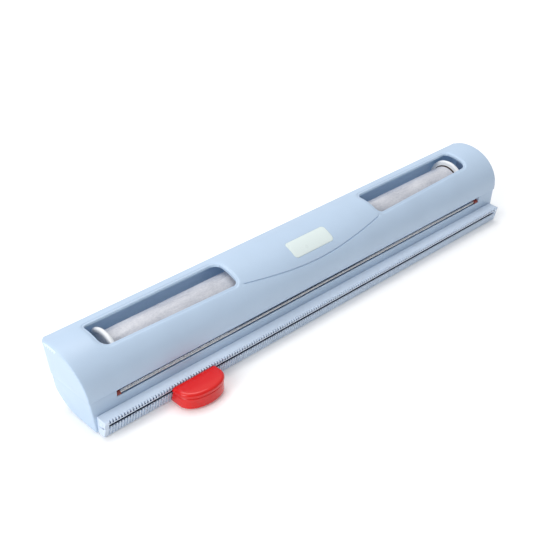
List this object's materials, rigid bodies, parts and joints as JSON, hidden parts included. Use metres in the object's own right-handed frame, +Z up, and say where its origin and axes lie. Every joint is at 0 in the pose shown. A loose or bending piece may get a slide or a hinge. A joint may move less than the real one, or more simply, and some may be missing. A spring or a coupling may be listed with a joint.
{
  "type": "kitchen wrap dispenser",
  "caption": "Table-top film dispenser: arched hinged lid with two windows over a roll on core plugs, guide rod in the outlet slot, and a cutter sliding on a ribbed front rail.",
  "frame": {"origin": "on the resting plane, at the middle of the overall box at rest, below the housing", "axes": "+X along the dispenser's length to the right, +Y from the cutter rail towards the hinges at the back, +Z up"},
  "size_m": [0.3838, 0.0712, 0.0504],
  "materials": {
    "housing": "satin moulded light-blue plastic",
    "label_white": "smooth blank label",
    "plug_white": "smooth white plastic",
    "film": "tightly wound clear film, greyish",
    "card": "plain spiral-wound card",
    "rod_steel": "bright drawn steel",
    "blade_steel": "ground thin steel",
    "fastener_steel": "zinc-plated steel",
    "bush_brown": "dark red-brown plastic",
    "slider_red": "glossy red plastic",
    "pad_rubber": "matte soft rubber"
  },
  "bodies": {
    "housing": {"base_trough": "housing", "cutter_rail": "housing", "left_rail_cap": "housing", "right_rail_cap": "housing", "rail_screws": "fastener_steel", "left_rod_bush": "bush_brown", "right_rod_bush": "bush_brown", "left_hinge_pin": "fastener_steel", "right_hinge_pin": "fastener_steel", "rubber_feet": "pad_rubber"},
    "lid": {"lid_cover": "housing", "label_plate": "label_white"},
    "roll": {"core_tube": "card", "film_roll": "film", "left_core_plug": "plug_white", "right_core_plug": "plug_white"},
    "rod": {"guide_rod": "rod_steel"},
    "cutter": {"slider_cap": "slider_red", "slider_body": "slider_red", "slider_shoe": "plug_white", "cutter_blade": "blade_steel", "blade_screw": "fastener_steel"}
  },
  "joints": [
    {"name": "lid_hinge", "type": "hinge", "parent": "housing", "child": "lid", "pos_m": [0, 0.03304, 0.0234], "axis": [-1, 0, 0], "range_deg": [0, 105]},
    {"name": "roll_spin", "type": "hinge", "parent": "housing", "child": "roll", "pos_m": [0, 0.01426, 0.0324], "axis": [1, 0, 0], "continuous": true},
    {"name": "rod_spin", "type": "hinge", "parent": "housing", "child": "rod", "pos_m": [0, -0.00764, 0.01895], "axis": [1, 0, 0], "continuous": true},
    {"name": "cutter_slide", "type": "slide", "parent": "housing", "child": "cutter", "axis": [1, 0, 0], "range_m": [-0.0445, 0.286]}
  ]
}
